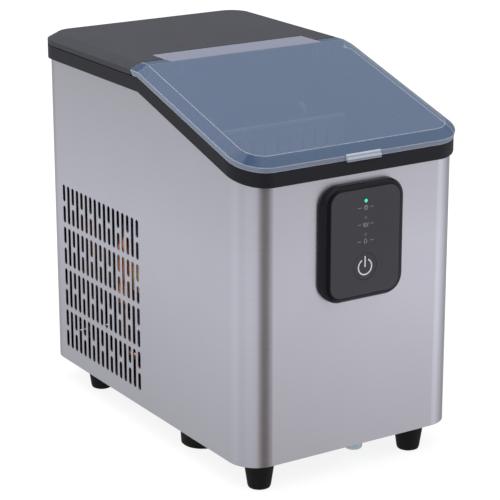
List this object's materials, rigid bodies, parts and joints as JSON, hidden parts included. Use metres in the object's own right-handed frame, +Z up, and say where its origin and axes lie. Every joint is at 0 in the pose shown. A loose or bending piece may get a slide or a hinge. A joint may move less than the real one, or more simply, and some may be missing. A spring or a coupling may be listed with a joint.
{
  "type": "ice maker",
  "caption": "Countertop bullet-ice maker: brushed steel cabinet with slotted side vents, charcoal rear cover, clear sloping lid and a raised black control panel.",
  "frame": {"origin": "on the floor under the middle of the whole outline, control panel and top trim included", "axes": "+X to the right as the control panel is faced, +Y to the back, +Z up"},
  "size_m": [0.226, 0.3696, 0.341],
  "materials": {
    "brushed_stainless": "horizontal fine brushed satin",
    "trim_black": "fine textured moulded plastic",
    "cover_charcoal": "fine textured moulded plastic",
    "lid_clear": "clear smoky polycarbonate",
    "steel_pin": "bright",
    "zinc_sheet": "black powder coat",
    "zinc_screw": "zinc plated",
    "foot_rubber": "matt",
    "panel_black": "satin",
    "face_black": "smooth satin film",
    "lamp": "translucent light pipe",
    "board_green": "solder mask",
    "liner_grey": "food-grade liner",
    "foam_white": "expanded foam",
    "basket_clear": "clear moulded",
    "white_plastic": "moulded",
    "nickel": "plated",
    "copper": "drawn copper",
    "black_enamel": "gloss enamel",
    "aluminium_fin": "fin stock",
    "galvanised": "galvanised",
    "fan_grey": "moulded",
    "silicone_clear": "translucent silicone",
    "brass_fit": "turned"
  },
  "bodies": {
    "cabinet": {"steel_wrap": "brushed_stainless", "rear_panel": "zinc_sheet", "rear_screws": "zinc_screw", "base_pan": "zinc_sheet", "feet": "foot_rubber", "side_foot": "foot_rubber", "foot_screws": "zinc_screw", "top_trim": "trim_black", "top_cover": "cover_charcoal", "tub": "liner_grey", "tub_foam": "foam_white", "tray_motor": "white_plastic", "evaporator": "nickel", "evaporator_holder": "white_plastic", "ice_sensors": "trim_black", "level_stem": "white_plastic", "control_housing": "panel_black", "control_face": "face_black", "display_board": "board_green", "status_lamps": "lamp", "compressor": "black_enamel", "compressor_grommets": "foot_rubber", "compressor_bolts": "zinc_screw", "terminal_cover": "trim_black", "condenser": "aluminium_fin", "fan_shroud": "fan_grey", "fan_motor": "galvanised", "discharge_tube": "copper", "suction_tube": "copper", "capillary_tube": "copper", "liquid_tube": "copper", "hot_gas_tube": "copper", "filter_drier": "copper", "gas_valve": "brass_fit", "pump": "trim_black", "pump_inlet_hose": "silicone_clear", "supply_hose": "silicone_clear", "drain_hose": "silicone_clear", "drain_spout": "white_plastic", "control_box": "white_plastic", "main_board": "board_green", "board_bracket": "galvanised", "power_inlet": "trim_black", "inlet_pins": "brass_fit"},
    "lid": {"lid": "lid_clear", "lid_pins": "steel_pin"},
    "power_button": {"power_button": "face_black"},
    "fan": {"fan_blade": "fan_grey"},
    "water_tray": {"water_tray": "white_plastic", "tray_shaft": "white_plastic"},
    "ice_shovel": {"ice_shovel": "white_plastic"},
    "ice_basket": {"ice_basket": "basket_clear"},
    "level_float": {"level_float": "white_plastic"},
    "drain_plug": {"drain_plug": "silicone_clear"}
  },
  "joints": [
    {"name": "lid_hinge", "type": "hinge", "parent": "cabinet", "child": "lid", "pos_m": [0, -0.00025, 0.3365], "axis": [-1, 0, 0], "range_deg": [0, 105]},
    {"name": "power_button_press", "type": "slide", "parent": "cabinet", "child": "power_button", "axis": [0, 1, 0], "range_m": [0, 0.0008], "stiffness_N_per_m": 600},
    {"name": "fan_spin", "type": "hinge", "parent": "cabinet", "child": "fan", "pos_m": [0.071, 0.08775, 0.115], "axis": [1, 0, 0], "continuous": true},
    {"name": "tray_tip", "type": "hinge", "parent": "cabinet", "child": "water_tray", "pos_m": [0, -0.03925, 0.249], "axis": [1, 0, 0], "range_deg": [0, 70]},
    {"name": "shovel_swing", "type": "hinge", "parent": "cabinet", "child": "ice_shovel", "pos_m": [0, -0.06825, 0.287], "axis": [-1, 0, 0], "range_deg": [0, 45.5]},
    {"name": "basket_lift", "type": "slide", "parent": "cabinet", "child": "ice_basket", "axis": [0, 0, 1], "range_m": [0, 0.026]},
    {"name": "float_rise", "type": "slide", "parent": "cabinet", "child": "level_float", "axis": [0, 0, 1], "range_m": [0, 0.02]},
    {"name": "drain_plug_pull", "type": "slide", "parent": "cabinet", "child": "drain_plug", "axis": [0, 0, -1], "range_m": [0, 0.008]}
  ],
  "couplings": [
    {"joint": "shovel_swing", "follows": "tray_tip", "ratio": 0.64286}
  ]
}
